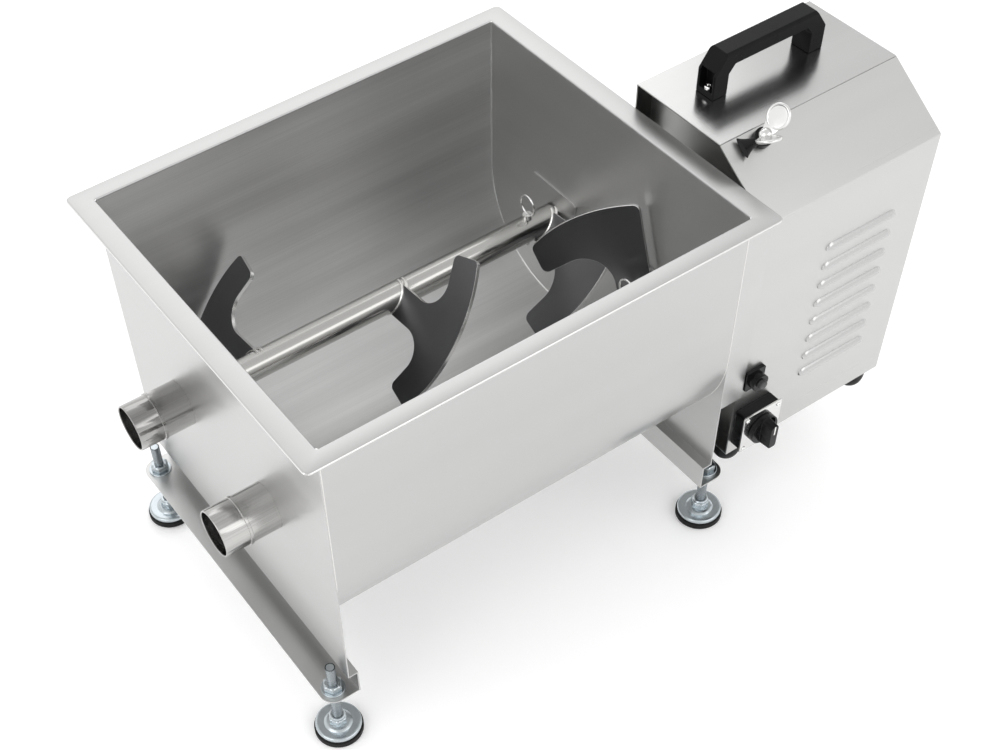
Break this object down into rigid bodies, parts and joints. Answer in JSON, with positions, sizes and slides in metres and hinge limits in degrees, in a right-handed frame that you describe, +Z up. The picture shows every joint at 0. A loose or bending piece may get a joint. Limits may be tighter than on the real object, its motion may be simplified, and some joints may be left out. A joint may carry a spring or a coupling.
{
  "type": "electric meat mixer",
  "caption": "Bench meat mixer: open stainless trough on levelling feet, counter-rotating paddle shafts, and a lift-off drive unit with handle and switch.",
  "frame": {"origin": "on the floor under the middle of the whole machine's box", "axes": "+X along the paddle shafts towards the drive unit, -Y the side with the switch, +Z up"},
  "size_m": [0.7416, 0.4338, 0.488],
  "materials": {
    "brushed_sheet": "brushed stainless sheet",
    "drive_sheet": "satin brushed stainless sheet",
    "tube_steel": "turned and brushed stainless tube",
    "paddle_steel": "ground stainless plate",
    "shaft_steel": "machined steel",
    "zinc": "bright zinc plate",
    "bright_steel": "bright metal",
    "foot_rubber": "black rubber",
    "black_plastic": "black moulded plastic",
    "button_plastic": "grey plastic",
    "bush_plastic": "dark bearing plastic",
    "bronze": "sintered bronze",
    "case_metal": "cast aluminium",
    "motor_paint": "painted motor frame",
    "capacitor_can": "plastic can"
  },
  "bodies": {
    "tank": {"tank_shell": "brushed_sheet", "rim_frame": "brushed_sheet", "end_plate_stub_side": "brushed_sheet", "end_plate_drive_side": "brushed_sheet", "bearing_housings": "tube_steel", "bearing_bushes": "bush_plastic", "hub_plates": "brushed_sheet", "shaft_seals": "foot_rubber", "gear_case_plate": "case_metal", "gear_case_cover": "case_metal", "case_bushes": "bronze", "idler_pins": "shaft_steel", "drive_standoffs": "shaft_steel", "flange_nuts": "zinc"},
    "near_shaft": {"paddle_shaft_near": "tube_steel", "paddle_near_1": "paddle_steel", "paddle_near_2": "paddle_steel", "paddle_near_3": "paddle_steel", "drive_stub_near": "shaft_steel", "gear_near": "shaft_steel"},
    "far_shaft": {"paddle_shaft_far": "tube_steel", "paddle_far_1": "paddle_steel", "paddle_far_2": "paddle_steel", "paddle_far_3": "paddle_steel", "drive_stub_far": "shaft_steel", "gear_far": "shaft_steel"},
    "lynch_pin_near": {"lynch_pin_near": "bright_steel"},
    "lynch_pin_far": {"lynch_pin_far": "bright_steel"},
    "idler_near": {"idler_near": "shaft_steel"},
    "idler_far": {"idler_far": "shaft_steel"},
    "drive_unit": {"drive_near_cover": "drive_sheet", "drive_top_cover": "drive_sheet", "drive_end_panel": "drive_sheet", "drive_mounting_plate": "shaft_steel", "drive_floor": "drive_sheet", "gearbox": "case_metal", "motor": "motor_paint", "capacitor": "capacitor_can", "bench_feet": "foot_rubber", "handle": "black_plastic", "handle_screws": "bright_steel", "switch_box": "black_plastic", "switch_plate": "bright_steel", "switch_screws": "bright_steel", "breaker": "black_plastic", "wing_nut": "shaft_steel"},
    "output_shaft": {"output_shaft": "shaft_steel"},
    "switch_knob": {"switch_knob": "black_plastic"},
    "breaker_button": {"breaker_button": "button_plastic"},
    "wing_screw": {"wing_screw": "bright_steel"},
    "keeper": {"keeper": "black_plastic"},
    "foot_near_left": {"levelling_foot_near_left": "zinc", "foot_pad_near_left": "foot_rubber"},
    "foot_far_left": {"levelling_foot_far_left": "zinc", "foot_pad_far_left": "foot_rubber"},
    "foot_near_right": {"levelling_foot_near_right": "zinc", "foot_pad_near_right": "foot_rubber"},
    "foot_far_right": {"levelling_foot_far_right": "zinc", "foot_pad_far_right": "foot_rubber"}
  },
  "joints": [
    {"name": "near_shaft_spin", "type": "hinge", "parent": "tank", "child": "near_shaft", "pos_m": [-0.31275, -0.07205, 0.25], "axis": [1, 0, 0], "continuous": true},
    {"name": "far_shaft_spin", "type": "hinge", "parent": "tank", "child": "far_shaft", "pos_m": [-0.31275, 0.08795, 0.25], "axis": [1, 0, 0], "continuous": true},
    {"name": "idler_near_spin", "type": "hinge", "parent": "tank", "child": "idler_near", "pos_m": [0.13675, -0.01705, 0.25], "axis": [1, 0, 0], "continuous": true},
    {"name": "idler_far_spin", "type": "hinge", "parent": "tank", "child": "idler_far", "pos_m": [0.13675, 0.03295, 0.25], "axis": [1, 0, 0], "continuous": true},
    {"name": "lynch_pin_near_pull", "type": "slide", "parent": "near_shaft", "child": "lynch_pin_near", "axis": [0, 0, 1], "range_m": [0, 0.04]},
    {"name": "lynch_pin_far_pull", "type": "slide", "parent": "far_shaft", "child": "lynch_pin_far", "axis": [0, 0, 1], "range_m": [0, 0.04]},
    {"name": "drive_unit_slide", "type": "slide", "parent": "tank", "child": "drive_unit", "axis": [1, 0, 0], "range_m": [0, 0.06]},
    {"name": "output_shaft_spin", "type": "hinge", "parent": "drive_unit", "child": "output_shaft", "pos_m": [0.15775, -0.07205, 0.25], "axis": [1, 0, 0], "continuous": true},
    {"name": "switch_knob_turn", "type": "hinge", "parent": "drive_unit", "child": "switch_knob", "pos_m": [0.18375, -0.19755, 0.14], "axis": [0, -1, 0], "range_deg": [-60, 60]},
    {"name": "breaker_button_push", "type": "slide", "parent": "drive_unit", "child": "breaker_button", "axis": [0, 1, 0], "range_m": [0, 0.003], "stiffness_N_per_m": 300},
    {"name": "wing_screw_turn", "type": "hinge", "parent": "drive_unit", "child": "wing_screw", "pos_m": [0.19725, -0.12206, 0.43938], "axis": [0, -0.5519, 0.8339], "continuous": true},
    {"name": "keeper_swing", "type": "hinge", "parent": "drive_unit", "child": "keeper", "pos_m": [0.19725, -0.12206, 0.43938], "axis": [0, -0.5519, 0.8339], "range_deg": [-90, 90]},
    {"name": "foot_near_left_turn", "type": "hinge", "parent": "tank", "child": "foot_near_left", "pos_m": [-0.32225, -0.16705, 0], "axis": [0, 0, 1], "range_deg": [-180, 180]},
    {"name": "foot_far_left_turn", "type": "hinge", "parent": "tank", "child": "foot_far_left", "pos_m": [-0.32225, 0.18295, 0], "axis": [0, 0, 1], "range_deg": [-180, 180]},
    {"name": "foot_near_right_turn", "type": "hinge", "parent": "tank", "child": "foot_near_right", "pos_m": [0.14625, -0.16705, 0], "axis": [0, 0, 1], "range_deg": [-180, 180]},
    {"name": "foot_far_right_turn", "type": "hinge", "parent": "tank", "child": "foot_far_right", "pos_m": [0.14625, 0.18295, 0], "axis": [0, 0, 1], "range_deg": [-180, 180]}
  ],
  "couplings": [
    {"joint": "far_shaft_spin", "follows": "near_shaft_spin", "ratio": -1},
    {"joint": "idler_near_spin", "follows": "near_shaft_spin", "ratio": -1.2},
    {"joint": "idler_far_spin", "follows": "near_shaft_spin", "ratio": 1.2},
    {"joint": "output_shaft_spin", "follows": "near_shaft_spin", "ratio": 1}
  ]
}
